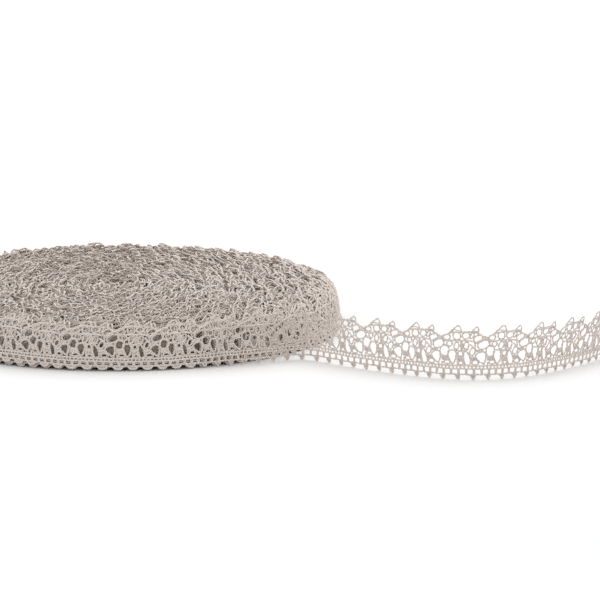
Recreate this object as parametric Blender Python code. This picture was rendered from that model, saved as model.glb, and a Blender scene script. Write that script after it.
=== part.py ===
"""A roll of narrow cotton lace edging, with its loose end standing beside it.

The lace is wound flat, like a pancake, straight footing edge down and scalloped edge up.
It is one length of lace. The wound part is one solid here, and the loose end is one thin sheet.

Frame: the origin is the centre of the roll's flat underside, +Z is up, and the loose end
leaves the roll at its front right and runs off towards +X.
"""

import math
import random

import bmesh
import bpy
from mathutils import Vector, geometry

# The lace strip, laid flat
LACE_WIDTH = 0.0150
LACE_THICKNESS = 0.0012
ROLL_REPEATS = 33
PICOTS_PER_REPEAT = 3

# The roll
ROLL_RADIUS = 0.0640
TURN_PITCH = 0.0012
LEAVE_ANGLE = math.radians(-69.0)
COLUMNS_PER_REPEAT = 6
FOOT_GAP = 0.0015
DROP_DEPTH = 0.0007
EYE_DEPTH = 0.0013
TOP_HEIGHT = 0.0131
TOP_CROWN = 0.0004
TWIST_PITCH = 0.0040
TWIST_STEP = 0.0038
TWIST_RISE = 0.0008
TWIST_UNEVEN = 0.00035

# How closely the loose end's route is worked out
ROUTE_STEP = 0.0005

REPEAT = 2.0 * math.pi * ROLL_RADIUS / ROLL_REPEATS
PICOT_PITCH = REPEAT / PICOTS_PER_REPEAT

# The rim of the roll from the underside to the top, a row for each ring of points.
# Inset and height are in millimetres. The last column is what each ring does:
# "foot" lifts between the lower picots, "eyes" and "drops" are pressed in at the
# lace's holes, and "edge" follows the scallops and their picots.
RIM_ROWS = [
    (1.7, 0.0, "plain"),
    (0.0, 0.0, "foot"),
    (0.0, 1.6, "plain"),
    (0.0, 4.1, "plain"),
    (0.1, 6.0, "drops"),
    (0.3, 8.6, "eyes"),
    (1.1, 10.7, "plain"),
    (2.5, 12.4, "plain"),
    (4.3, 13.2, "edge"),
    (6.0, 12.9, "plain"),
]

# What the scalloped edge does over one repeat, in millimetres of height, a row for each column
EDGE_RISE = [-0.8, -0.2, 0.5, 0.1, 0.5, -0.2]

# The route of the loose end's centre line, in millimetres, with its lean in degrees.
# A lean below zero tips the scalloped edge towards the front.
TAIL_ROUTE = [
    # x, y, lean
    (25.8, -58.3, 0.0),
    (32.5, -56.0, 0.0),
    (38.9, -53.3, 0.0),
    (44.5, -50.2, 0.0),
    (49.0, -47.6, 0.0),
    (52.6, -47.2, -1.0),
    (56.7, -49.3, -3.0),
    (61.5, -53.4, -4.0),
    (67.0, -58.2, -5.0),
    (73.5, -62.8, -5.0),
    (81.0, -67.8, -3.0),
    (89.5, -72.2, -1.0),
    (98.5, -74.2, -1.0),
    (107.5, -72.6, -3.0),
    (116.0, -67.8, -7.0),
    (124.0, -60.2, -10.0),
    (131.2, -51.6, -12.0),
    (137.0, -43.0, -13.0),
    (141.5, -34.5, -13.0),
]

# The outline of one lower picot and of one scallop, as along and up in millimetres
PICOT_OUTLINE = [(-1.30, 1.45), (-0.40, 0.0), (0.40, 0.0), (1.30, 1.45)]
PICOT_TIP = LACE_WIDTH * 1000.0
SCALLOP_OUTLINE = [
    (-4.9, 12.7), (-3.0, 13.3), (-2.5, PICOT_TIP), (-1.8, PICOT_TIP), (-1.4, 13.6),
    (1.4, 13.6), (1.8, PICOT_TIP), (2.5, PICOT_TIP), (3.0, 13.3), (4.9, 12.7),
]
VALLEY_HEIGHT = 11.9

# The holes of one repeat that are cut through: place along from the valley, height, width, tall, corners
HOLES = [
    (0.0, 9.75, 2.7, 2.7, 8),
    (0.0, 7.35, 1.5, 1.3, 6),
    (2.1, 5.60, 1.6, 2.0, 5),
    (6.2, 5.60, 1.6, 2.0, 5),
    (10.3, 5.60, 1.6, 2.0, 5),
    (4.1, 9.20, 1.2, 1.2, 4),
    (8.4, 9.20, 1.2, 1.2, 4),
]


def clear_scene():
    """Remove the objects that a new file starts with."""
    for thing in list(bpy.data.objects):
        bpy.data.objects.remove(thing, do_unlink=True)


def make_material(name, colour, roughness):
    """A Principled material of one colour."""
    material = bpy.data.materials.new(name)
    material.use_nodes = True
    shader = material.node_tree.nodes["Principled BSDF"]
    shader.inputs["Base Color"].default_value = (*colour, 1.0)
    shader.inputs["Roughness"].default_value = roughness
    shader.inputs["Metallic"].default_value = 0.0
    return material


def make_object(name, mesh_data, material):
    """Turn a bmesh into a named object with its faces pointing out."""
    bmesh.ops.recalc_face_normals(mesh_data, faces=mesh_data.faces[:])
    mesh = bpy.data.meshes.new(name)
    mesh_data.to_mesh(mesh)
    mesh_data.free()
    mesh.materials.append(material)
    mesh.shade_smooth()
    mesh.set_sharp_from_angle(angle=math.radians(40.0))
    thing = bpy.data.objects.new(name, mesh)
    bpy.context.scene.collection.objects.link(thing)
    return thing


def outer_radius(angle):
    """The roll's radius at an angle: a spiral that steps down one turn where the end leaves."""
    back = (LEAVE_ANGLE - angle) % (2.0 * math.pi)
    return ROLL_RADIUS - TURN_PITCH * back / (2.0 * math.pi)


def rim_point(column, columns, row, dice):
    """One point of the roll's rim."""
    inset, height, kind = row
    angle = LEAVE_ANGLE + 2.0 * math.pi * column / columns
    radius = outer_radius(angle) - inset / 1000.0
    height = height / 1000.0
    place = column % COLUMNS_PER_REPEAT
    if kind == "foot" and place % 2 == 1:
        height += FOOT_GAP
    if kind == "drops" and place % 2 == 1:
        radius -= DROP_DEPTH
    if kind == "eyes" and place == 0:
        radius -= EYE_DEPTH
    if kind == "edge":
        height += EDGE_RISE[place] / 1000.0 + dice.uniform(-0.0002, 0.0002)
        radius -= dice.uniform(-0.0003, 0.0003)
    return Vector((radius * math.cos(angle), radius * math.sin(angle), height))


def spiral_line(start, phase):
    """Points along one line of the wound top, as plan positions with their radius."""
    line = []
    angle = 0.0
    while True:
        radius = start + TWIST_PITCH * (angle / (2.0 * math.pi) + phase)
        limit = outer_radius(angle) - 0.001 * RIM_ROWS[-1][0] - 0.0016
        if radius > limit:
            if angle > 2.0 * math.pi and radius > limit + TWIST_PITCH:
                return line
        else:
            line.append((radius * math.cos(angle), radius * math.sin(angle), radius, angle))
        angle += TWIST_STEP / max(radius, 0.0045)


def add_top(mesh_data, rim_ring, dice):
    """Close the top with the ridges and furrows of the wound turns inside the last rim ring."""
    plan = [Vector((point.co.x, point.co.y)) for point in rim_ring]
    heights = [point.co.z for point in rim_ring]
    edges = []
    for phase, rise in ((0.0, TWIST_RISE), (0.5, -TWIST_RISE)):
        line = spiral_line(0.0022, phase)
        for number, (x, y, radius, angle) in enumerate(line):
            share = radius / ROLL_RADIUS
            lift = TOP_HEIGHT + TOP_CROWN * (1.0 - share * share) + rise
            lift += dice.uniform(-TWIST_UNEVEN, TWIST_UNEVEN)
            if number and math.hypot(x - line[number - 1][0], y - line[number - 1][1]) < 0.0060:
                edges.append((len(plan) - 1, len(plan)))
            plan.append(Vector((x, y)))
            heights.append(lift)
    outline = list(range(len(rim_ring)))
    made = geometry.delaunay_2d_cdt(plan, edges, [outline], 1, 1e-7)
    points, _, faces, origins = made[0], made[1], made[2], made[3]
    corners = []
    for point, origin in zip(points, origins):
        number = min(origin)
        if number < len(rim_ring):
            corners.append(rim_ring[number])
        else:
            corners.append(mesh_data.verts.new((point.x, point.y, heights[number])))
    for face in faces:
        mesh_data.faces.new([corners[number] for number in face])


def build_roll(material):
    """The wound part as one solid: toothed lower rim, pressed wall, rounded shoulder, ridged top."""
    dice = random.Random(11)
    mesh_data = bmesh.new()
    columns = ROLL_REPEATS * COLUMNS_PER_REPEAT
    rings = []
    for row in RIM_ROWS:
        ring = [mesh_data.verts.new(rim_point(column, columns, row, dice)) for column in range(columns)]
        rings.append(ring)
    for lower, upper in zip(rings, rings[1:]):
        for column in range(columns):
            after = (column + 1) % columns
            mesh_data.faces.new((lower[column], lower[after], upper[after], upper[column]))
    mesh_data.faces.new(list(reversed(rings[0])))
    add_top(mesh_data, rings[-1], dice)
    bmesh.ops.triangulate(mesh_data, faces=mesh_data.faces[:])
    return make_object("wound_roll", mesh_data, material)


def smooth_route():
    """The loose end's route as close steps of length, place and lean, by a smooth curve."""
    rows = [Vector(row) for row in TAIL_ROUTE]
    rows = [rows[0] * 2.0 - rows[1]] + rows + [rows[-1] * 2.0 - rows[-2]]
    steps = []
    length = 0.0
    for before, start, end, after in zip(rows, rows[1:], rows[2:], rows[3:]):
        count = max(2, int((end - start).length / (ROUTE_STEP * 1000.0)))
        for number in range(count):
            share = number / count
            place = 0.5 * (
                2.0 * start
                + (end - before) * share
                + (2.0 * before - 5.0 * start + 4.0 * end - after) * share ** 2
                + (3.0 * start - before - 3.0 * end + after) * share ** 3
            )
            point = Vector((place.x, place.y, 0.0)) / 1000.0
            if steps:
                length += (point - steps[-1][1]).length
            steps.append((length, point, math.radians(place.z)))
    return steps


def on_route(steps, along):
    """Place, sideways direction and lean at a length along the route."""
    along = min(max(along, 0.0), steps[-1][0] - 1e-6)
    number = next(count for count, step in enumerate(steps) if step[0] > along)
    first, second = steps[number - 1], steps[number]
    share = (along - first[0]) / (second[0] - first[0])
    forward = steps[min(number + 2, len(steps) - 1)][1] - steps[max(number - 3, 0)][1]
    forward.normalize()
    side = Vector((-forward.y, forward.x, 0.0))
    return first[1].lerp(second[1], share), side, first[2] + (second[2] - first[2]) * share


def lace_outline(length):
    """The flat outline of the loose end, counter-clockwise, and its holes, in millimetres."""
    repeat = REPEAT * 1000.0
    pitch = PICOT_PITCH * 1000.0
    bottom = []
    for number in range(int(length / pitch)):
        middle = (number + 0.5) * pitch
        bottom += [(middle + along, up) for along, up in PICOT_OUTLINE]
    top = []
    holes = []
    for number in range(-1, int(length / repeat) + 2):
        valley = number * repeat + 0.35 * repeat
        top.append((valley, VALLEY_HEIGHT))
        top += [(valley + 0.5 * repeat + along, up) for along, up in SCALLOP_OUTLINE]
        for along, up, wide, tall, corners in HOLES:
            middle = valley + along
            if wide < middle < length - wide:
                holes.append(hole_outline(middle, up, wide, tall, corners))
    top = [point for point in top if 0.6 < point[0] < length - 0.6]
    outline = [(0.0, 1.45)] + bottom + [(length, 1.45), (length, 12.4)] + top[::-1] + [(0.0, 12.4)]
    return outline, holes


def hole_outline(middle, up, wide, tall, corners):
    """One hole of the lace as a polygon with a corner at its top."""
    points = []
    for number in range(corners):
        turn = 2.0 * math.pi * number / corners
        points.append((middle + 0.5 * wide * math.sin(turn), up + 0.5 * tall * math.cos(turn)))
    return points


def build_tail(material):
    """The loose end: the pierced lace strip, stood on its lower picots and bent along its route."""
    steps = smooth_route()
    length = int(steps[-1][0] * 1000.0 / (PICOT_PITCH * 1000.0)) * PICOT_PITCH * 1000.0
    outline, holes = lace_outline(length)
    plan = []
    loops = []
    for loop in [outline] + holes:
        loops.append(list(range(len(plan), len(plan) + len(loop))))
        plan += [Vector(point) for point in loop]
    made = geometry.delaunay_2d_cdt(plan, [], loops, 2, 1e-5)
    points, faces = made[0], made[2]
    mesh_data = bmesh.new()
    fronts = []
    backs = []
    for point in points:
        place, side, lean = on_route(steps, point.x / 1000.0)
        up = Vector((0.0, 0.0, 1.0)) * math.cos(lean) + side * math.sin(lean)
        across = side * math.cos(lean) - Vector((0.0, 0.0, 1.0)) * math.sin(lean)
        middle = place + up * (point.y / 1000.0)
        for corners, half in ((fronts, -0.5), (backs, 0.5)):
            corner = middle + across * (half * LACE_THICKNESS)
            if point.y < 0.01:
                corner.z = 0.0
            corners.append(mesh_data.verts.new(corner))
    counts = {}
    for face in faces:
        mesh_data.faces.new([fronts[number] for number in face])
        mesh_data.faces.new([backs[number] for number in reversed(face)])
        for first, second in zip(face, face[1:] + face[:1]):
            counts[(first, second)] = counts.get((first, second), 0) + 1
    for first, second in counts:
        if (second, first) not in counts:
            mesh_data.faces.new((fronts[second], fronts[first], backs[first], backs[second]))
    bmesh.ops.triangulate(mesh_data, faces=mesh_data.faces[:])
    return make_object("loose_end", mesh_data, material)


def main():
    clear_scene()
    build_roll(make_material("wound_lace", (0.50, 0.43, 0.37), 0.92))
    build_tail(make_material("loose_lace", (0.56, 0.49, 0.43), 0.92))


main()
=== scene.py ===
"""Looks of a flat roll of narrow cotton lace edging and of its loose end.

The lace is one charted repeat of yarn paths, laid flat, which is tiled along the strip and then
carried onto the strip's real course: a spiral for the roll and an S-bend for the loose end.
Inside the file lengths are in millimetres, and meshes are turned into metres as they are made.
"""

import math

import bpy
import numpy as np
from bpy.props import FloatProperty, FloatVectorProperty, IntProperty, PointerProperty
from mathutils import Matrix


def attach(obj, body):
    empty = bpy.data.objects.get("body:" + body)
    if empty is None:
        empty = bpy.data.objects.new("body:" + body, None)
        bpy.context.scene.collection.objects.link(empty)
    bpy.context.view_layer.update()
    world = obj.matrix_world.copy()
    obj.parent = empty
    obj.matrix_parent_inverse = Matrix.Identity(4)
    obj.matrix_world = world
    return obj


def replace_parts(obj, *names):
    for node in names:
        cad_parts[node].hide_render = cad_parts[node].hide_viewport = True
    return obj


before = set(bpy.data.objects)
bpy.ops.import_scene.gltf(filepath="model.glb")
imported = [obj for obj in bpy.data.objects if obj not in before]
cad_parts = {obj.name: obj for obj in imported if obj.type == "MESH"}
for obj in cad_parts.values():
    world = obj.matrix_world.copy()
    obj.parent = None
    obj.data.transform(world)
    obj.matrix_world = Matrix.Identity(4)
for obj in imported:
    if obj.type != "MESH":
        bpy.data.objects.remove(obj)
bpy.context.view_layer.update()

bl_info = {
    "name": "Lace roll",
    "version": (1, 0, 0),
    "blender": (4, 5, 0),
    "location": "3D View > Sidebar > Lace roll",
    "description": "Makes a wound roll of cotton lace edging, its loose end, and a plain studio stage",
    "category": "Add Mesh",
}

MM = 0.001
CHART_REPEAT = 12.57
TURN_REPEATS = 33
INNER_REPEAT = 12.1
LEAVE_ANGLE = math.radians(-69.0)
CENTRE_LINE = 63.4
COURSE_STEP = 0.25

# One repeat of the lace laid flat, a row for each yarn path. Group, strands plied together,
# depth in front of the middle of the lace, and the places that the path runs through, as
# millimetres along from the valley between two scallops and up from the lower picots' tips.
CHART = [
    ("picot", 2, 0.06, [(-0.5, 1.5), (-0.1, 1.05), (0.25, 0.5), (0.55, 0.25), (0.85, 0.25), (1.05, 0.6), (1.1, 1.1), (1.1, 1.5)]),
    ("nub", 1, -0.08, [(0.1, 1.5), (0.4, 0.95), (0.65, 0.65), (0.8, 1.0), (0.8, 1.5)]),
    ("toe", 1, 0.08, [(-0.75, 1.5), (-0.4, 0.9), (-0.1, 0.45), (0.25, 0.25), (0.6, 0.24), (0.95, 0.25), (1.3, 0.45), (1.6, 0.9), (1.95, 1.5)]),
    ("toe", 1, -0.1, [(0.1, 1.55), (0.35, 0.95), (0.6, 0.6), (0.85, 0.95), (1.1, 1.55)]),
    ("foot", 2, 0.05, [(0.0, 1.46), (4.19, 1.42), (8.38, 1.47), (12.57, 1.46)]),
    ("footing", 1, 0.10, [(0.0, 3.0), (4.19, 2.97), (8.38, 3.02), (12.57, 3.0)]),
    ("footing", 1, 0.0, [(0.0, 3.88), (4.19, 3.91), (8.38, 3.85), (12.57, 3.88)]),
    ("bar", 1, 0.0, [(0.62, 1.4), (0.66, 2.2), (0.60, 3.05)]),
    ("bar", 1, 0.0, [(1.04, 1.4), (1.00, 2.2), (1.06, 3.05)]),
    ("rung", 1, -0.05, [(0.3, 2.95), (0.3, 3.45), (0.3, 3.95)]),
    ("leaf", 3, 0.08, [(0.2, 6.25), (1.1, 6.0), (2.0, 6.25)]),
    ("leaf", 2, -0.08, [(0.3, 5.55), (1.3, 5.4), (2.4, 5.5)]),
    ("leaf", 2, 0.10, [(4.7, 6.2), (5.5, 6.1), (6.3, 6.2)]),
    ("leaf", 3, -0.08, [(4.75, 5.55), (5.6, 5.4), (6.4, 5.5)]),
    ("leaf", 2, 0.10, [(8.1, 6.3), (8.9, 6.2), (9.6, 6.4)]),
    ("leaf", 3, -0.08, [(8.2, 5.75), (9.2, 5.65), (10.1, 5.8)]),
    ("leaf", 3, 0.05, [(9.7, 8.15), (10.6, 8.1), (11.7, 8.1)]),
    ("leaf", 3, -0.05, [(5.75, 10.9), (5.8, 9.9), (5.75, 9.0), (5.9, 8.1)]),
    ("leg", 1, 0.08, [(4.5, 7.7), (4.6, 6.6), (4.7, 5.4), (4.8, 3.9)]),
    ("leg", 1, -0.08, [(6.35, 7.5), (6.25, 6.4), (6.5, 5.1), (6.9, 3.9)]),
    ("leg", 1, 0.0, [(8.2, 9.9), (8.9, 9.2), (9.6, 8.8)]),
    ("leg", 1, -0.08, [(9.2, 11.0), (9.35, 10.2), (9.6, 9.2)]),
    ("leg", 1, 0.0, [(0.9, 10.5), (0.85, 9.9), (1.3, 9.4)]),
    ("leg", 1, 0.0, [(12.9, 4.9), (13.0, 4.4), (12.9, 3.9)]),
    ("leg", 1, 0.0, [(3.25, 4.7), (3.2, 4.3), (3.3, 3.9)]),
    ("leg", 1, 0.0, [(12.0, 4.9), (11.9, 4.3), (11.8, 3.9)]),
    ("arc", 1, 0.08, [(2.6, 10.85), (4.4, 10.9), (6.0, 10.95), (7.6, 10.9), (8.9, 10.6)]),
    ("arc", 1, -0.10, [(4.2, 8.15), (5.2, 8.0), (6.3, 8.1), (7.7, 8.4)]),
    ("edge", 2, 0.0, [(-3.0, 10.15), (-2.0, 10.85), (-0.8, 11.45), (0.3, 11.95), (1.6, 12.5), (2.9, 13.0), (4.3, 13.25), (5.9, 13.3), (7.2, 13.35), (8.5, 13.35), (9.6, 13.1), (10.5, 12.75), (11.4, 12.3), (12.57, 11.75), (13.4, 11.2), (14.2, 10.8)]),
    ("loop", 2, 0.15, [(2.3, 12.9), (3.1, 13.7), (4.0, 14.5), (4.75, 15.1), (5.15, 15.15), (5.5, 14.6), (5.75, 13.8), (5.85, 13.0)]),
    ("loop", 1, -0.1, [(2.9, 13.3), (3.8, 13.85), (4.5, 13.75), (5.4, 13.5)]),
    ("loop", 2, 0.15, [(8.2, 13.2), (8.9, 13.9), (9.6, 14.55), (10.1, 14.75), (10.4, 14.3), (10.42, 13.6), (10.35, 12.8)]),
    ("loop", 1, -0.1, [(8.7, 13.35), (9.3, 13.55), (10.2, 13.3)]),
    ("behind", 2, -0.55, [(2.55, 8.9), (2.6, 9.9), (2.3, 11.2), (2.2, 12.6)]),
    ("behind", 2, -0.55, [(4.5, 8.3), (4.5, 9.6), (4.6, 11.2), (4.5, 13.0)]),
    ("behind", 2, -0.55, [(7.1, 8.6), (7.0, 9.8), (7.1, 11.4), (7.0, 13.1)]),
    ("behind", 1, -0.50, [(8.4, 9.2), (8.7, 10.4), (9.0, 11.4), (8.9, 12.9)]),
    ("behind", 2, -0.55, [(0.6, 11.3), (1.9, 11.6), (3.0, 12.4)]),
    ("behind", 2, -0.55, [(9.4, 11.0), (10.4, 11.5), (11.6, 11.6)]),
    ("behind", 2, -0.65, [(3.0, 9.5), (5.0, 9.7), (6.5, 9.4), (8.2, 9.6)]),
    ("behind", 2, -0.65, [(2.2, 12.0), (4.5, 12.1), (7.0, 12.3), (9.4, 12.0)]),
    ("behind", 1, -0.5, [(0.0, 2.2), (4.19, 2.25), (8.38, 2.15), (12.57, 2.2)]),
    ("behind", 1, -0.5, [(0.0, 3.4), (4.19, 3.4), (8.38, 3.45), (12.57, 3.4)]),
]

# The holes of one repeat, each ringed by a cord: group, place along, height, width, tall, turn in
# degrees, and taper (the share by which it widens towards its top)
HOLES = [
    ("eye", 1.6, 11.6, 1.75, 0.95, 26, 0.0),
    ("eye", 4.45, 12.15, 1.6, 1.55, 0, 0.0),
    ("eye", 7.0, 12.3, 1.6, 1.3, 22, 0.0),
    ("eye", 8.65, 12.25, 1.3, 0.4, 60, 0.0),
    ("eye", 10.35, 11.4, 2.1, 1.45, 24, 0.0),
    ("ring", 2.45, 9.95, 1.0, 1.0, 0, 0.0),
    ("ring", 4.4, 9.5, 0.85, 1.6, -16, 0.0),
    ("ring", 7.05, 9.5, 0.85, 1.6, -16, 0.0),
    ("ring", 8.75, 7.8, 0.9, 1.7, -22, 0.0),
    ("ring", 11.8, 9.8, 2.8, 1.8, 22, 0.0),
    ("ring", 1.1, 7.95, 2.0, 2.4, -12, 0.0),
    ("ring", 5.45, 7.2, 0.9, 1.0, 0, 0.0),
    ("ring", 3.25, 6.35, 1.6, 3.3, 4, 0.45),
    ("ring", 7.15, 5.95, 1.25, 3.5, 10, -0.3),
    ("ring", 11.25, 6.15, 2.0, 2.7, 22, 0.5),
    ("ring", 1.75, 4.85, 1.3, 0.6, 0, -0.3),
    ("ring", 5.65, 4.65, 0.8, 0.6, 0, -0.3),
    ("ring", 9.5, 4.85, 1.35, 0.8, 0, -0.3),
]

# Paths that come more than once in a repeat: group and how many times
REPEATED = {"picot": 3, "nub": 3, "toe": 3, "bar": 6, "rung": 12}

# Yarn thickness by group, as a share of the full yarn: in the open lace, and pressed together
# in the roll
OPEN = {
    "picot": 0.62, "nub": 0.9, "foot": 0.58, "footing": 0.85, "bar": 0.8, "rung": 1.1, "leaf": 0.72, "leg": 0.9,
    "arc": 0.9, "edge": 0.62, "loop": 0.62, "eye": 0.6, "ring": 0.6,
}
PRESSED = {
    "toe": 1.5, "picot": 0.95, "foot": 0.8, "footing": 1.15, "bar": 1.15, "rung": 1.25, "leaf": 0.95, "leg": 1.2,
    "arc": 1.2, "edge": 0.85, "loop": 0.85, "eye": 0.8, "ring": 0.8, "behind": 1.0,
}

# Which groups are worked for the open lace, for an outer turn, and for an inner turn's two edges
WOVEN = ("foot", "footing", "bar", "rung", "leaf", "leg", "arc", "edge", "loop", "eye", "ring")
WHOLE = WOVEN + ("picot", "nub")
WOUND = WOVEN + ("toe",)
BACKED = WOUND + ("behind",)
UPPER = ("eye", "edge", "loop")
LOWER = ("picot",)

# Where the valleys between scallops fall: length along the strip from the leaving place, and
# the number of the repeat that starts there
REPEAT_MARKS = np.array([
    (-46.95, -4), (-35.55, -3), (-22.55, -2), (-10.15, -1), (1.95, 0), (13.45, 1), (53.7, 4), (66.3, 5),
    (77.8, 6), (90.4, 7), (101.9, 8), (112.7, 9), (124.0, 10), (135.2, 11), (146.4, 12), (152.0, 12.5),
])

# The lace's section in the roll: how far up the strip, how far in from the outer face, and how high
ROLL_SECTION = np.array([
    (0.0, 0.00, 0.00),
    (1.46, 0.00, 1.15),
    (3.0, 0.00, 2.40),
    (3.95, 0.00, 3.30),
    (4.75, 0.02, 4.05),
    (6.0, 0.05, 5.25),
    (7.85, 0.18, 7.00),
    (9.65, 0.50, 8.60),
    (11.35, 1.05, 10.15),
    (12.5, 1.75, 11.10),
    (13.7, 2.70, 11.90),
    (15.0, 3.80, 12.60),
])

# How far the foot is off the floor at lengths along the strip: the outer turn has ridden up a
# little at the front, and most at the front left
FOOT_LIFT = np.array([(-110.0, 0.0), (-85.0, 0.5), (-65.0, 1.2), (-52.0, 1.2), (-38.0, 0.6), (-20.0, 0.35), (8.0, 0.35), (30.0, 0.0)])

# The loose end's course: plan position, and lean of the scalloped edge in degrees, less than
# zero towards the front
LOOSE_COURSE = np.array([
    (25.8, -58.3, 0.0),
    (32.5, -56.0, 0.0),
    (38.9, -53.3, 0.0),
    (44.5, -50.2, 0.0),
    (49.0, -47.6, 0.0),
    (52.6, -47.2, -1.0),
    (56.7, -49.3, -3.0),
    (61.5, -53.4, -4.0),
    (67.0, -58.2, -5.0),
    (73.5, -62.8, -5.0),
    (81.0, -67.8, -3.0),
    (89.5, -72.2, -1.0),
    (98.5, -74.2, -1.0),
    (107.5, -72.6, -3.0),
    (116.0, -67.8, -7.0),
    (124.0, -60.2, -10.0),
    (131.2, -51.6, -12.0),
    (137.0, -43.0, -13.0),
    (141.5, -34.5, -13.0),
    (143.4, -30.8, -13.0),
])


class LaceSettings(bpy.types.PropertyGroup):
    """The strip of lace itself."""

    width: FloatProperty(name="Width", description="Edge to edge, picots included", default=0.015, unit="LENGTH")
    yarn: FloatProperty(name="Yarn", description="Diameter of one strand", default=0.0005, unit="LENGTH")
    ply_turn: FloatProperty(
        name="Ply turn", description="Length of one turn of a two-strand cord", default=0.0023, unit="LENGTH"
    )
    colour: FloatVectorProperty(
        name="Yarn colour", description="Undyed cotton's grey-beige", subtype="COLOR", size=3,
        default=(0.83, 0.755, 0.70), min=0.0, max=1.0,
    )


class RollSettings(bpy.types.PropertyGroup):
    """How the strip is wound."""

    turn_pitch: FloatProperty(
        name="Turn pitch", description="From one turn to the next", default=0.0012, unit="LENGTH"
    )
    turns: IntProperty(name="Turns", description="Turns in the roll", default=51, min=6, max=80)
    swell: FloatProperty(
        name="Swell", description="How much fuller the yarn is where turns press together", default=1.0, min=0.5,
        max=1.5,
    )
    uneven: FloatProperty(
        name="Unevenness", description="How far turns stand above or below each other", default=0.0006, unit="LENGTH"
    )
    # Painted shade: the packing's yarn takes this darker colour to stand for the shade deep between the turns
    painted_shade_colour: FloatVectorProperty(
        name="Shaded colour", description="Yarn deep between the turns", subtype="COLOR", size=3,
        default=(0.55, 0.46, 0.39), min=0.0, max=1.0,
    )


class StageSettings(bpy.types.PropertyGroup):
    """The floor, the light and the camera."""

    floor_colour: FloatVectorProperty(
        name="Floor colour", description="Plain pale floor", subtype="COLOR", size=3, default=(0.84, 0.84, 0.84),
        min=0.0, max=1.0,
    )
    sky: FloatProperty(
        name="Sky light", description="Strength of the soft light from all round", default=0.97, min=0.0, max=10.0
    )
    lamps: FloatProperty(
        name="Lamp power", description="Watts of the large lamp overhead", default=10.8, min=0.0, max=1000.0
    )
    lens: FloatProperty(name="Lens", description="Focal length in millimetres", default=305.0, min=20.0, max=1000.0)


def smooth_course(points, step):
    """Points at an even step along a smooth curve (Catmull-Rom) through the given rows."""
    points = np.asarray(points, float)
    rows = np.vstack([2 * points[0] - points[1], points, 2 * points[-1] - points[-2]])
    share = np.linspace(0.0, 1.0, 24, endpoint=False)[:, None]
    before, start, end, after = rows[:-3, None], rows[1:-2, None], rows[2:-1, None], rows[3:, None]
    curve = 0.5 * (
        2 * start
        + (end - before) * share
        + (2 * before - 5 * start + 4 * end - after) * share**2
        + (3 * start - before - 3 * end + after) * share**3
    )
    curve = np.vstack([curve.reshape(-1, points.shape[1]), points[-1:]])
    length = np.concatenate([[0.0], np.cumsum(np.linalg.norm(np.diff(curve[:, :2], axis=0), axis=1))])
    wanted = np.linspace(0.0, length[-1], max(3, int(round(length[-1] / step)) + 1))
    return np.stack([np.interp(wanted, length, column) for column in curve.T], axis=1)


def soft_noise(along, spacing, seed):
    """A smooth random line between -1 and 1: random values at even places, eased between them."""
    along = np.asarray(along, float) / spacing
    table = np.random.default_rng(seed).uniform(-1.0, 1.0, 4096)
    cell = np.floor(along).astype(int)
    share = along - cell
    share = share * share * (3 - 2 * share)
    return table[cell % 4096] * (1 - share) + table[(cell + 1) % 4096] * share


class Course:
    """Where the middle of the strip runs in plan, by length from the place where it leaves the roll.

    Below zero it is the spiral of the roll, whose radius grows by the turn pitch in a turn.
    Above zero it is the smooth line of the loose end. The repeats are numbered along it, with
    the second and third turns' repeats lying on the first's.
    """

    def __init__(self, turn_pitch, turns):
        angles = np.append(np.arange(-turns * 2 * math.pi, 0.0, 0.02), 0.0)
        radii = CENTRE_LINE + turn_pitch * angles / (2 * math.pi)
        around = angles + LEAVE_ANGLE
        spiral = np.stack([radii * np.cos(around), radii * np.sin(around)], axis=1)
        loose = smooth_course(LOOSE_COURSE, COURSE_STEP)
        places = np.vstack([spiral, loose[:, :2]])
        leans = np.concatenate([np.zeros(len(spiral)), np.radians(loose[:, 2])])
        length = np.concatenate([[0.0], np.cumsum(np.linalg.norm(np.diff(places, axis=0), axis=1))])
        length -= length[len(spiral) - 1]
        self.length = np.arange(length[0], length[-1], COURSE_STEP)
        self.x = np.interp(self.length, length, places[:, 0])
        self.y = np.interp(self.length, length, places[:, 1])
        self.lean = np.interp(self.length, length, leans)
        self.angle = np.interp(self.length, length[: len(angles)], angles)
        self.wound = self.length <= 0
        kernel = np.ones(9) / 9
        run_x = np.convolve(np.pad(np.gradient(self.x), 4, "edge"), kernel, "valid")
        run_y = np.convolve(np.pad(np.gradient(self.y), 4, "edge"), kernel, "valid")
        size = np.hypot(run_x, run_y)
        self.run_x, self.run_y = run_x / size, run_y / size
        marks = REPEAT_MARKS
        last = np.interp(0.0, marks[:, 0], marks[:, 1])
        one_length = np.concatenate([[self.length_at(-2 * math.pi)], marks[:, 0]])
        one_repeat = np.concatenate([[last - TURN_REPEATS], marks[:, 1]])
        turn = np.linspace(-2 * math.pi, 0.0, 500)[:-1]
        repeats = np.interp(self.length_at(turn), one_length, one_repeat)
        lengths = [self.length_at(turn - 4 * math.pi), self.length_at(turn - 2 * math.pi), self.length_at(turn)]
        numbers = [repeats - 2 * TURN_REPEATS, repeats - TURN_REPEATS, repeats]
        deepest = (lengths[0][0] - self.length[0]) / INNER_REPEAT
        after = marks[:, 0] > 0
        self.mark_length = np.concatenate([[self.length[0]], *lengths, [0.0], marks[after, 0]])
        self.mark_repeat = np.concatenate([[numbers[0][0] - deepest], *numbers, [last], marks[after, 1]])

    def length_at(self, angle):
        """Length along the strip at an angle wound back from the leaving place."""
        return np.interp(angle, self.angle[self.wound], self.length[self.wound])

    def place_of(self, repeat):
        """Length along the strip at a repeat's number."""
        return np.interp(repeat, self.mark_repeat, self.mark_length)

    def read(self, along):
        """Plan place, direction of travel, lean and wound angle at lengths along the strip."""
        columns = (self.x, self.y, self.run_x, self.run_y, self.lean, self.angle)
        return [np.interp(along, self.length, column) for column in columns]


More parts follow.
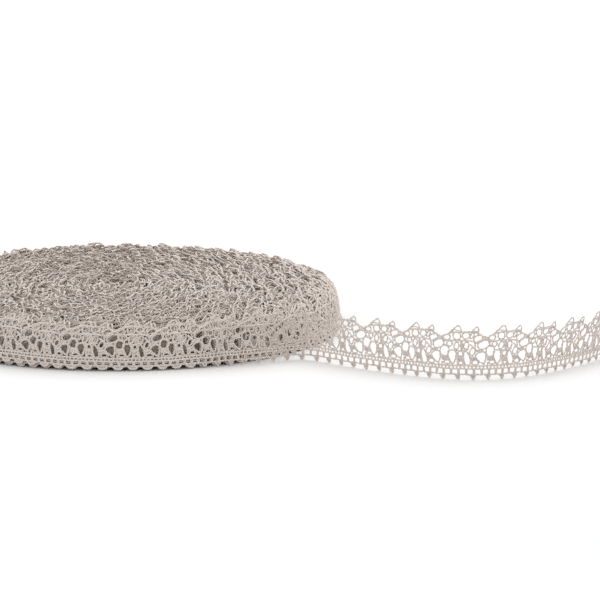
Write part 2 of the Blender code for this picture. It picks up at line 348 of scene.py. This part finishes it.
def carry(course, along, up, depth, uneven, least=0.0):
    """Carry flat lace onto its course.

    In the roll the strip follows the roll's section, which curls in at the top, less so deeper
    in, and each turn stands a little higher or lower than the next. Its scalloped edge also
    leans in or out from picot to picot by a smooth random angle. In the loose end it stands up
    straight with the course's lean. The two are mixed over the last of the wound part. Nothing
    lies lower than the least height. Returns the place and the way that the lace faces.
    """
    x, y, run_x, run_y, lean, angle = course.read(along)
    wound = np.clip((20.0 - along) / 30.0, 0.0, 1.0)
    wound = wound * wound * (3 - 2 * wound)
    turns_in = -angle / (2 * math.pi)
    inner = np.clip(turns_in - 0.7, 0.0, 1.0)
    deep = np.clip((turns_in - 2.0) / 6.0, 0.0, 1.0)
    tight = np.clip(np.hypot(x, y) / 14.0, 0.25, 1.0)
    lean_in = (1 - 0.6 * deep) * (1 + (0.12 + 0.3 * inner) * soft_noise(along, 17.0, 5)) * tight
    rise = uneven * (0.7 * soft_noise(along, 23.0, 3) + 0.9 * soft_noise(along, 6.0, 4)) * inner
    flop = (0.12 + 0.8 * inner) * soft_noise(along, 2.9, 6)
    over = np.clip(up - 11.6, 0.0, None)
    curl = np.interp(up, ROLL_SECTION[:, 0], ROLL_SECTION[:, 1])
    high = np.interp(up, ROLL_SECTION[:, 0], ROLL_SECTION[:, 2])
    slope = np.interp(up + 0.3, ROLL_SECTION[:, 0], ROLL_SECTION[:, 1]) - curl
    climb = np.interp(up + 0.3, ROLL_SECTION[:, 0], ROLL_SECTION[:, 2]) - high
    tilt = np.arctan2(slope * lean_in, np.maximum(climb, 0.05))
    inward = curl * lean_in + over * np.sin(flop) + 0.3 * inner * soft_noise(along, 9.0, 7)
    high = high + (rise + 0.7 * inner) * np.clip(up / 9.0, 0.0, 1.0) - over * (1 - np.cos(flop))
    inward = wound * inward + (1 - wound) * up * np.sin(lean)
    high = wound * high + (1 - wound) * up * np.cos(lean)
    high = high + np.interp(along, FOOT_LIFT[:, 0], FOOT_LIFT[:, 1])
    tilt = wound * tilt + (1 - wound) * lean
    side_x, side_y = -run_y, run_x
    face_in, face_up = -np.cos(tilt), np.sin(tilt)
    inward = inward + face_in * depth
    high = np.maximum(high + face_up * depth, least)
    place = np.stack([x + side_x * inward, y + side_y * inward, high], axis=-1)
    face = np.stack([side_x * face_in, side_y * face_in, face_up + 0 * x], axis=-1)
    return place, face


def strands_of(points, strands, yarn, ply_turn):
    """The strands of one path as arrays of along, up and depth.

    One strand keeps to the path. Two run round each other as a helix, a whole number of turns
    from end to end. Three are plaited: each swings from side to side by a sine, a third of a
    turn apart, and in depth at twice the rate.
    """
    run = np.gradient(points[:, 0]), np.gradient(points[:, 1])
    size = np.hypot(*run)
    side = np.stack([-run[1] / size, run[0] / size], axis=1)
    length = np.concatenate([[0.0], np.cumsum(np.linalg.norm(np.diff(points[:, :2], axis=0), axis=1))])
    made = []
    for number in range(strands):
        if strands == 1:
            across, depth = 0.0 * length, 0.0 * length
        elif strands == 2:
            turns = max(1, round(length[-1] / ply_turn))
            turn = 2 * math.pi * (turns * length / length[-1] + number / 2)
            across, depth = 0.45 * yarn * np.cos(turn), 0.45 * yarn * np.sin(turn)
        else:
            turn = 2 * math.pi * (length / (1.5 * ply_turn) + number / 3)
            across, depth = 0.8 * yarn * np.sin(turn), 0.32 * yarn * np.sin(2 * turn)
        made.append(np.column_stack([points[:, :2] + side * across[:, None], points[:, 2] + depth]))
    return made


def ring_path(along, up, wide, tall, turned, taper, yarn, step):
    """The cord round one hole, as places along and up.

    A rounded oblong (superellipse): the cosine and sine of the turn, each raised to the power
    1 / 1.2 and stretched to half the hole plus half the cord. The taper widens it towards its
    top, and it is then turned and moved to its place.
    """
    half_wide, half_tall = 0.5 * (wide + yarn), 0.5 * (tall + yarn)
    count = max(7, int(round(math.pi * (half_wide + half_tall) / step)) + 1)
    turn = np.linspace(0.0, 2 * math.pi, count)
    far = half_wide * np.sign(np.cos(turn)) * np.abs(np.cos(turn)) ** (1 / 1.2)
    high = half_tall * np.sign(np.sin(turn)) * np.abs(np.sin(turn)) ** (1 / 1.2)
    far = far * (1 + taper * high / half_tall)
    turned = math.radians(turned)
    return np.stack([
        along + far * math.cos(turned) - high * math.sin(turned),
        up + far * math.sin(turned) + high * math.cos(turned),
    ], axis=1)


def worked_repeat(groups, step, yarn, ply_turn, shares, plain):
    """Every strand of one repeat, for the named groups, with each strand's share of the yarn.

    Where the work is plain, a plied or plaited cord is drawn as one fuller strand.
    """
    paths = []
    for group, strands, depth, places in CHART:
        if group in groups:
            for copy in range(REPEATED.get(group, 1)):
                shift = copy * CHART_REPEAT / REPEATED.get(group, 1)
                paths.append((group, strands, depth, smooth_course(np.array(places, float) + [shift, 0.0], step)))
    for number, (group, *shape) in enumerate(HOLES):
        if group in groups:
            paths.append((group, 2, 0.07 * (-1) ** number, ring_path(*shape, yarn, step)))
    made = []
    for number, (group, strands, depth, path) in enumerate(paths):
        thickness = shares[group]
        if plain and strands > 1:
            strands, thickness = 1, thickness * 1.45
        if group == "edge":
            lift = 0.28 * np.tanh((6.3 - path[:, 0]) / 2.0)
        else:
            lift = depth + 0.06 * np.sin(path[:, 0] * 2.1 + number + path[:, 1] * 1.7)
        path = np.column_stack([path, lift])
        made += [(strand, thickness) for strand in strands_of(path, strands, yarn * thickness, ply_turn)]
    return made


def tubes(centres, faces, radius, sides):
    """Closed tubes round rows of centre lines, as points, quads, triangles and their map.

    A ring stands square to the line at each point: centre plus radius times cosine of the turn
    on the lace's face direction plus sine on the direction across. The two ends close on a
    point. The map holds turns round the yarn and millimetres along it.
    """
    rows, count = centres.shape[:2]
    run = np.gradient(centres, axis=1)
    run /= np.linalg.norm(run, axis=2, keepdims=True) + 1e-12
    across = np.cross(run, faces)
    across /= np.linalg.norm(across, axis=2, keepdims=True) + 1e-9
    out = np.cross(across, run)
    turn = 2 * math.pi * np.arange(sides) / sides
    rings = centres[:, :, None] + radius * (
        np.cos(turn)[:, None] * out[:, :, None] + np.sin(turn)[:, None] * across[:, :, None]
    )
    tips = np.stack([centres[:, 0] - run[:, 0] * 0.6 * radius, centres[:, -1] + run[:, -1] * 0.6 * radius], axis=1)
    points = np.concatenate([rings.reshape(rows, -1, 3), tips], axis=1)
    ring = np.arange(count - 1)[:, None] * sides
    here = np.arange(sides)[None, :]
    there = (here + 1) % sides
    quads = np.stack([ring + here, ring + there, ring + sides + there, ring + sides + here], axis=-1).reshape(-1, 4)
    first, last = count * sides, count * sides + 1
    tail = (count - 1) * sides
    here, there = here[0], there[0]
    caps = np.concatenate([
        np.stack([there, here, here * 0 + first], axis=-1),
        np.stack([tail + here, tail + there, here * 0 + last], axis=-1),
    ])
    steps = np.linalg.norm(np.diff(centres, axis=1), axis=2)
    long = np.concatenate([np.zeros((rows, 1)), np.cumsum(steps, axis=1)], axis=1)
    low, high = long[:, :-1, None], long[:, 1:, None]
    wide = np.arange(sides)[None, None, :] / sides
    corner = np.stack([
        np.stack([wide + 0 * low, low + 0 * wide], axis=-1),
        np.stack([wide + 1 / sides + 0 * low, low + 0 * wide], axis=-1),
        np.stack([wide + 1 / sides + 0 * low, high + 0 * wide], axis=-1),
        np.stack([wide + 0 * low, high + 0 * wide], axis=-1),
    ], axis=3)
    ends = np.zeros((rows, 2 * sides, 3, 2))
    ends[:, :sides, :, 0] = (np.arange(sides) / sides)[None, :, None]
    ends[:, sides:, :, 0] = (np.arange(sides) / sides)[None, :, None]
    ends[:, sides:, :, 1] = long[:, -1][:, None, None]
    shift = (np.arange(rows) * points.shape[1])[:, None, None]
    return (
        points.reshape(-1, 3),
        (quads[None] + shift).reshape(-1, 4),
        (caps[None] + shift).reshape(-1, 3),
        np.concatenate([corner.reshape(-1, 2), ends.reshape(-1, 2)]),
    )


def join(parts):
    """Join several sets of points, quads, triangles and map into one."""
    points, quads, triangles, quad_maps, triangle_maps = [], [], [], [], []
    shift = 0
    for part_points, part_quads, part_triangles, part_map in parts:
        points.append(part_points)
        quads.append(part_quads + shift)
        triangles.append(part_triangles + shift)
        quad_maps.append(part_map[: part_quads.size])
        triangle_maps.append(part_map[part_quads.size :])
        shift += len(part_points)
    return (
        np.concatenate(points),
        np.concatenate(quads),
        np.concatenate(triangles),
        np.concatenate(quad_maps + triangle_maps),
    )


def make_piece(name, shape, material):
    """Put points in millimetres, quads, triangles and their map into a smooth-shaded object."""
    points, quads, triangles, corner_map = shape
    mesh = bpy.data.meshes.new(name)
    mesh.vertices.add(len(points))
    mesh.vertices.foreach_set("co", (points * MM).astype(np.float32).ravel())
    corners = np.concatenate([quads.ravel(), triangles.ravel()]).astype(np.int32)
    mesh.loops.add(len(corners))
    mesh.loops.foreach_set("vertex_index", corners)
    starts = np.concatenate([np.arange(len(quads)) * 4, quads.size + np.arange(len(triangles)) * 3])
    mesh.polygons.add(len(starts))
    mesh.polygons.foreach_set("loop_start", starts.astype(np.int32))
    mesh.update(calc_edges=True)
    layer = mesh.uv_layers.new(name="UVMap")
    layer.uv.foreach_set("vector", corner_map.astype(np.float32).ravel())
    mesh.validate()
    mesh.shade_smooth()
    mesh.materials.append(material)
    thing = bpy.data.objects.new(name, mesh)
    bpy.context.scene.collection.objects.link(thing)
    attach(thing, "root")
    return thing


def lace_shape(course, groups, first, last, step, sides, lace, roll, shares, plain=False, shear=0.0, rough=0.0):
    """Lace of the named groups, worked from one repeat's number to another.

    Each strand is laid at the length of its repeat, nudged by a small smooth random amount so
    that no two repeats are the same, and carried onto the course. A shear slides the upper
    part along the strip, and roughness throws each place off its line at random.
    """
    yarn = lace.yarn / MM * (roll.swell if shares is PRESSED else 1.0)
    numbers = np.arange(first, last)
    parts = []
    strands = worked_repeat(groups, step, yarn, lace.ply_turn / MM, shares, plain)
    for strand, thickness in strands:
        along = course.place_of(numbers[:, None] + strand[None, :, 0] / CHART_REPEAT)
        up = np.broadcast_to(strand[None, :, 1], along.shape)
        nudge = 0.10 * soft_noise(along * 3.1 + 1.7 * up, 3.3, 20) + shear * np.clip((up - 8.8) / 2.0, 0.0, 1.0)
        depth = strand[None, :, 2] + 0.12 * soft_noise(along + 2.3 * up, 2.1, 21)
        depth = depth + rough * soft_noise(along * 7.3 + 5.1 * up, 1.0, 23)
        up = up + 0.08 * soft_noise(along * 2.3 - up, 2.9, 22) * np.clip(up, 0, 1)
        up = up + rough * soft_noise(along * 6.1 + 4.7 * up, 1.0, 24)
        half = 0.5 * yarn * thickness
        place, face = carry(course, along + nudge, np.maximum(up, half), depth, roll.uneven / MM, half)
        parts.append(tubes(place, face, half, sides))
    return join(parts)


def twist_group():
    """Node group of spun cotton: ply lines round the yarn, a fine nap, a slow mottle, and a groove mask for painted
    shade in the ply grooves.
    """
    name = "spun_cotton"
    if name in bpy.data.node_groups:
        return bpy.data.node_groups[name]
    group = bpy.data.node_groups.new(name, "ShaderNodeTree")
    face = group.interface
    for label, default in (("Lines per mm", 1.3), ("Nap", 0.35), ("Mottle scale", 420.0)):
        socket = face.new_socket(label, in_out="INPUT", socket_type="NodeSocketFloat")
        socket.default_value = default
    for label in ("Height", "Mottle", "Groove"):
        face.new_socket(label, in_out="OUTPUT", socket_type="NodeSocketFloat")
    nodes, links = group.nodes, group.links
    given, result = nodes.new("NodeGroupInput"), nodes.new("NodeGroupOutput")
    place = nodes.new("ShaderNodeTexCoord")

    def sum_of(kind, one, two=None, three=None):
        node = nodes.new("ShaderNodeMath")
        node.operation = kind
        for socket, value in zip(node.inputs, (one, two, three)):
            if isinstance(value, (int, float)):
                socket.default_value = value
            elif value is not None:
                links.new(value, socket)
        return node.outputs["Value"]

    apart = nodes.new("ShaderNodeSeparateXYZ")
    links.new(place.outputs["UV"], apart.inputs["Vector"])
    turn = sum_of("MULTIPLY_ADD", apart.outputs["Y"], given.outputs["Lines per mm"], apart.outputs["X"])
    wave = sum_of("SINE", sum_of("MULTIPLY", turn, 4 * math.pi))
    nap = nodes.new("ShaderNodeTexNoise")
    nap.inputs["Scale"].default_value = 7000.0
    nap.inputs["Detail"].default_value = 2.0
    links.new(place.outputs["Object"], nap.inputs["Vector"])
    mottle = nodes.new("ShaderNodeTexNoise")
    mottle.inputs["Detail"].default_value = 4.0
    mottle.inputs["Roughness"].default_value = 0.6
    links.new(given.outputs["Mottle scale"], mottle.inputs["Scale"])
    links.new(place.outputs["Object"], mottle.inputs["Vector"])
    links.new(sum_of("MULTIPLY_ADD", nap.outputs["Fac"], given.outputs["Nap"], wave), result.inputs["Height"])
    links.new(mottle.outputs["Fac"], result.inputs["Mottle"])
    # The Groove output is the mask for the painted shade in the ply grooves
    links.new(sum_of("MULTIPLY_ADD", wave, 0.5, 0.5), result.inputs["Groove"])
    return group


def cotton_finish(name, colour, shade, groove_shade):
    """Matt cotton: a slow mottle between two tints, painted shade darkening the ply grooves, and a soft bump."""
    material = bpy.data.materials.new(name)
    material.use_nodes = True
    nodes, links = material.node_tree.nodes, material.node_tree.links
    shader = nodes["Principled BSDF"]
    spun = nodes.new("ShaderNodeGroup")
    spun.node_tree = twist_group()
    ramp = nodes.new("ShaderNodeValToRGB")
    ramp.color_ramp.elements[0].position = 0.3
    ramp.color_ramp.elements[1].position = 0.68
    ramp.color_ramp.elements[0].color = (colour[0] * shade * 1.02, colour[1] * shade, colour[2] * shade * 0.98, 1.0)
    ramp.color_ramp.elements[1].color = (*colour, 1.0)
    links.new(spun.outputs["Mottle"], ramp.inputs["Fac"])
    dark = nodes.new("ShaderNodeMix")
    dark.data_type = "RGBA"
    dark.blend_type = "MULTIPLY"
    dark.inputs["Factor"].default_value = 1.0
    links.new(ramp.outputs["Color"], dark.inputs["A"])
    # Painted shade: the colour is darkened in the ply grooves, down to the groove shade share, for the shade that
    # falls in them
    deep = nodes.new("ShaderNodeValToRGB")
    deep.color_ramp.elements[0].color = (groove_shade, groove_shade * 0.98, groove_shade * 0.96, 1.0)
    deep.color_ramp.elements[1].color = (1.0, 1.0, 1.0, 1.0)
    deep.color_ramp.elements[1].position = 0.6
    links.new(spun.outputs["Groove"], deep.inputs["Fac"])
    links.new(deep.outputs["Color"], dark.inputs["B"])
    links.new(dark.outputs["Result"], shader.inputs["Base Color"])
    shader.inputs["Roughness"].default_value = 0.92
    shader.inputs["Specular IOR Level"].default_value = 0.2
    shader.inputs["Sheen Weight"].default_value = 0.2
    shader.inputs["Sheen Roughness"].default_value = 0.6
    bump = nodes.new("ShaderNodeBump")
    bump.inputs["Strength"].default_value = 0.6
    bump.inputs["Distance"].default_value = 0.00008
    links.new(spun.outputs["Height"], bump.inputs["Height"])
    links.new(bump.outputs["Normal"], shader.inputs["Normal"])
    return material


def settings():
    scene = bpy.context.scene
    return scene.lace_settings, scene.lace_roll_settings, scene.lace_stage_settings


def the_course(roll):
    return Course(roll.turn_pitch / MM, roll.turns)


class LACE_OT_loose_end(bpy.types.Operator):
    """Make the loose end: the whole lace, stood on its lower picots along its bend"""

    bl_idname = "lace_roll.loose_end"
    bl_label = "Make the loose end"

    def execute(self, context):
        lace, roll, _ = settings()
        course = the_course(roll)
        shape = lace_shape(course, WHOLE, 0, 12, 0.5, 4, lace, roll, OPEN)
        finish = cotton_finish("loose_cotton", lace.colour, 0.93, 0.9)
        piece = make_piece("loose_lace", shape, finish)
        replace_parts(piece, "loose_end")
        float(course.place_of(12)) * MM
        return {"FINISHED"}


class LACE_OT_outer_turns(bpy.types.Operator):
    """Wind the outermost turns: the whole lace, curled in along its scalloped edge"""

    bl_idname = "lace_roll.outer_turns"
    bl_label = "Wind the outer turns"

    def execute(self, context):
        lace, roll, _ = settings()
        course = the_course(roll)
        finish = cotton_finish("wound_cotton", lace.colour, 0.93, 0.9)
        rows = [
            ("outer_turn_front", BACKED, -11, 0, 0.5, 4, False, 0.0),
            ("outer_turn_back", BACKED, -26, -11, 0.6, 4, True, 0.0),
            ("outer_turn_right", BACKED, -TURN_REPEATS, -26, 0.5, 4, False, 0.0),
            ("second_turn", WOUND, -2 * TURN_REPEATS, -TURN_REPEATS, 1.0, 4, True, 1.1),
        ]
        for name, groups, first, last, step, sides, plain, shear in rows:
            shape = lace_shape(course, groups, first, last, step, sides, lace, roll, PRESSED, plain, shear)
            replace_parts(make_piece(name, shape, finish), "wound_roll")
        return {"FINISHED"}


class LACE_OT_inner_turns(bpy.types.Operator):
    """Wind the inner turns: the scalloped edges that show on top, and the picots underneath"""

    bl_idname = "lace_roll.inner_turns"
    bl_label = "Wind the inner turns"

    def execute(self, context):
        lace, roll, _ = settings()
        course = the_course(roll)
        finish = bpy.data.materials["wound_cotton"]
        deepest = int(course.mark_repeat[0]) + 2
        marks = np.linspace(-2 * TURN_REPEATS, deepest, 4).astype(int)
        for number, name in enumerate(("upper_edges_outer", "upper_edges_middle", "upper_edges_inner")):
            shape = lace_shape(
                course, UPPER, marks[number + 1], marks[number], 1.0, 3, lace, roll, PRESSED, True, rough=0.2
            )
            make_piece(name, shape, finish)
        shape = lace_shape(course, LOWER, deepest, marks[0], 1.3, 3, lace, roll, PRESSED, True)
        make_piece("lower_edges", shape, finish)
        return {"FINISHED"}


class LACE_OT_packing(bpy.types.Operator):
    """Fill the roll with bands of the turns between their two edges, their yarn coloured darker as painted shade"""

    bl_idname = "lace_roll.packing"
    bl_label = "Fill between the edges"

    def execute(self, context):
        lace, roll, _ = settings()
        course = the_course(roll)
        start, end = course.place_of(course.mark_repeat[0] + 3), course.place_of(-TURN_REPEATS)
        along = np.arange(start, end, 4.0)
        heights = np.array([1.2, 4.0, 7.5, 10.5, 12.2])
        grid_along, grid_up = np.meshgrid(along, heights, indexing="ij")
        front, _ = carry(course, grid_along, grid_up, -0.2, roll.uneven / MM)
        back, _ = carry(course, grid_along, grid_up, -0.7, roll.uneven / MM)
        ring = np.concatenate([front, back[:, ::-1]], axis=1)
        rows, around = ring.shape[:2]
        row = np.arange(rows - 1)[:, None] * around
        here = np.arange(around)[None, :]
        there = (here + 1) % around
        quads = np.stack([row + here, row + around + here, row + around + there, row + there], axis=-1).reshape(-1, 4)
        low = np.arange(len(heights) - 1)
        caps = np.concatenate([
            np.stack([low, low + 1, around - 1 - low], axis=1),
            np.stack([low + 1, around - 2 - low, around - 1 - low], axis=1),
        ])
        caps = np.concatenate([caps, caps[:, ::-1] + (rows - 1) * around])
        tall = np.concatenate([heights, heights[::-1], heights[:1]])[None, :]
        far = along[:, None]
        corner = np.stack([
            np.stack([tall[:, :-1] + 0 * far[:-1], far[:-1] + 0 * tall[:, :-1]], axis=-1),
            np.stack([tall[:, :-1] + 0 * far[1:], far[1:] + 0 * tall[:, :-1]], axis=-1),
            np.stack([tall[:, 1:] + 0 * far[1:], far[1:] + 0 * tall[:, 1:]], axis=-1),
            np.stack([tall[:, 1:] + 0 * far[:-1], far[:-1] + 0 * tall[:, 1:]], axis=-1),
        ], axis=2).reshape(-1, 2)
        corner = np.concatenate([corner, np.zeros((caps.size, 2))])
        # The packing stands for real yarn of the inner turns; its darker colour, deeper mottle and darker grooves are
        # painted shade
        finish = cotton_finish("painted_shade_cotton", roll.painted_shade_colour, 0.7, 0.7)
        make_piece("packed_turns", (ring.reshape(-1, 3), quads, caps, corner), finish)
        return {"FINISHED"}


class LACE_OT_stage(bpy.types.Operator):
    """Set the pale floor, the soft light and the camera"""

    bl_idname = "lace_roll.stage"
    bl_label = "Set the stage"

    def execute(self, context):
        stage = settings()[2]
        scene = context.scene
        floor = bpy.data.meshes.new("floor")
        floor.from_pydata([(-6, -4, 0), (6, -4, 0), (6, 8, 0), (-6, 8, 0)], [], [(0, 1, 2, 3)])
        material = bpy.data.materials.new("pale_floor")
        material.use_nodes = True
        shader = material.node_tree.nodes["Principled BSDF"]
        shader.inputs["Base Color"].default_value = (*stage.floor_colour, 1.0)
        shader.inputs["Roughness"].default_value = 1.0
        shader.inputs["Specular IOR Level"].default_value = 0.0
        floor.materials.append(material)
        ground = bpy.data.objects.new("floor", floor)
        scene.collection.objects.link(ground)
        world = bpy.data.worlds.new("soft_sky")
        world.use_nodes = True
        world.node_tree.nodes["Background"].inputs["Color"].default_value = (1.0, 1.0, 1.0, 1.0)
        world.node_tree.nodes["Background"].inputs["Strength"].default_value = stage.sky
        scene.world = world
        lamp = bpy.data.lights.new("overhead", "AREA")
        lamp.size = 1.6
        lamp.energy = stage.lamps
        thing = bpy.data.objects.new("overhead", lamp)
        thing.location = (0.3, 0.7, 1.3)
        thing.rotation_euler = (math.radians(-28), math.radians(12), 0)
        scene.collection.objects.link(thing)
        lens = bpy.data.cameras.new("view")
        lens.sensor_width = 36.0
        lens.lens = stage.lens
        lens.clip_end = 20.0
        camera = bpy.data.objects.new("view", lens)
        camera.location = (0.0514, -1.4331, 0.2888)
        camera.rotation_euler = (math.radians(90.0 - 11.1), 0.0, 0.0)
        scene.collection.objects.link(camera)
        scene.camera = camera
        scene.view_settings.view_transform = "Standard"
        return {"FINISHED"}


class LACE_PT_panel(bpy.types.Panel):
    """Lists the pieces of the lace roll in the sidebar."""

    bl_label = "Lace roll"
    bl_idname = "LACE_PT_panel"
    bl_space_type = "VIEW_3D"
    bl_region_type = "UI"
    bl_category = "Lace roll"

    def draw(self, context):
        for group in settings():
            box = self.layout.box()
            for name in group.bl_rna.properties.keys():
                if name not in ("rna_type", "name"):
                    box.prop(group, name)
        for operator in OPERATORS:
            self.layout.operator(operator.bl_idname)


OPERATORS = (LACE_OT_loose_end, LACE_OT_outer_turns, LACE_OT_inner_turns, LACE_OT_packing, LACE_OT_stage)
CLASSES = (LaceSettings, RollSettings, StageSettings) + OPERATORS + (LACE_PT_panel,)


def register():
    for group in CLASSES:
        bpy.utils.register_class(group)
    bpy.types.Scene.lace_settings = PointerProperty(type=LaceSettings)
    bpy.types.Scene.lace_roll_settings = PointerProperty(type=RollSettings)
    bpy.types.Scene.lace_stage_settings = PointerProperty(type=StageSettings)


def unregister():
    del bpy.types.Scene.lace_stage_settings
    del bpy.types.Scene.lace_roll_settings
    del bpy.types.Scene.lace_settings
    for group in reversed(CLASSES):
        bpy.utils.unregister_class(group)


def main():
    register()
    bpy.ops.lace_roll.loose_end()
    bpy.ops.lace_roll.outer_turns()
    bpy.ops.lace_roll.inner_turns()
    bpy.ops.lace_roll.packing()
    bpy.ops.lace_roll.stage()


if __name__ == "__main__":
    main()
